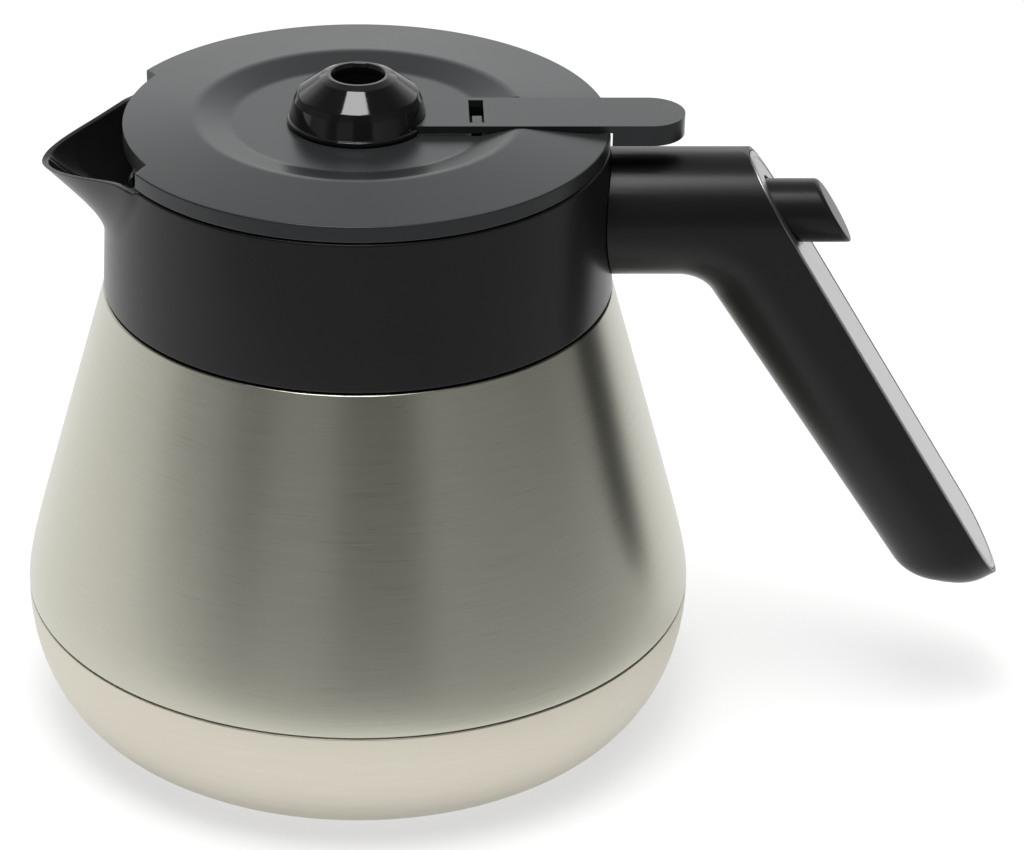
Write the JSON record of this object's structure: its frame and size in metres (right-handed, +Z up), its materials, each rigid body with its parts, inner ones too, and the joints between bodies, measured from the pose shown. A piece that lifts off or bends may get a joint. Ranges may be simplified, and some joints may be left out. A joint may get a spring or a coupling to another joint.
{
  "type": "thermal carafe with flip lid",
  "caption": "Double-walled steel carafe with a spouted collar, hooked side handle, flip lid, brew-through knob, thumb-operated pouring valve and a lid release button.",
  "frame": {"origin": "centre of the foot pad's underside, on the table", "axes": "+Z up the body's axis, +X towards the handle, spout at -X"},
  "size_m": [0.2207, 0.15, 0.153],
  "materials": {
    "outer_shell": "brushed around",
    "base_bowl": "satin",
    "inner_flask": "satin",
    "foot_pad": "matte",
    "vacuum_seal": "satin",
    "neck_collar": "satin",
    "neck_gasket": "matte",
    "clamp_ring": "matte",
    "hinge_pins": "ground",
    "lid_top": "satin",
    "lid_plug": "satin",
    "lid_seal": "matte",
    "lid_catch": "bright",
    "lever_pin": "ground",
    "valve_spring": "bright",
    "thumb_lever": "satin",
    "inlet_knob": "gloss",
    "valve_stem": "gloss",
    "valve_disc": "satin",
    "valve_seal": "matte",
    "handle_shell": "satin",
    "handle_plate": "satin",
    "handle_screws": "bright",
    "button_bush": "satin",
    "button_spring": "bright",
    "push_button": "satin",
    "push_rod": "ground"
  },
  "bodies": {
    "carafe": {"outer_shell": "outer_shell", "base_bowl": "base_bowl", "inner_flask": "inner_flask", "foot_pad": "foot_pad", "vacuum_seal": "vacuum_seal", "neck_collar": "neck_collar", "neck_gasket": "neck_gasket", "clamp_ring": "clamp_ring", "hinge_pins": "hinge_pins", "handle_shell": "handle_shell", "handle_plate": "handle_plate", "handle_screws": "handle_screws", "button_bush": "button_bush", "button_spring": "button_spring"},
    "lid": {"lid_top": "lid_top", "lid_plug": "lid_plug", "lid_seal": "lid_seal", "lid_catch": "lid_catch", "lever_pin": "lever_pin", "valve_spring": "valve_spring"},
    "lever": {"thumb_lever": "thumb_lever"},
    "valve": {"inlet_knob": "inlet_knob", "valve_stem": "valve_stem", "valve_disc": "valve_disc", "valve_seal": "valve_seal"},
    "button": {"push_button": "push_button", "push_rod": "push_rod"}
  },
  "joints": [
    {"name": "lid_flip", "type": "hinge", "parent": "carafe", "child": "lid", "pos_m": [-0.0465, 0, 0.1358], "axis": [0, -1, 0], "range_deg": [0, 65], "deforming": ["lid_catch"]},
    {"name": "lever_press", "type": "hinge", "parent": "lid", "child": "lever", "pos_m": [0.033, 0, 0.1416], "axis": [0, 1, 0], "range_deg": [0, 6]},
    {"name": "valve_lift", "type": "slide", "parent": "lid", "child": "valve", "axis": [0, 0, 1], "range_m": [0, 0.0034], "stiffness_N_per_m": 300, "springref_m": -0.004, "deforming": ["valve_spring"]},
    {"name": "button_press", "type": "slide", "parent": "carafe", "child": "button", "axis": [-1, 0, 0], "range_m": [0, 0.0032], "stiffness_N_per_m": 600, "springref_m": -0.003, "deforming": ["button_spring", "lid_catch"]}
  ],
  "couplings": [
    {"joint": "lever_press", "follows": "valve_lift", "rad_per_m": 30.49}
  ]
}
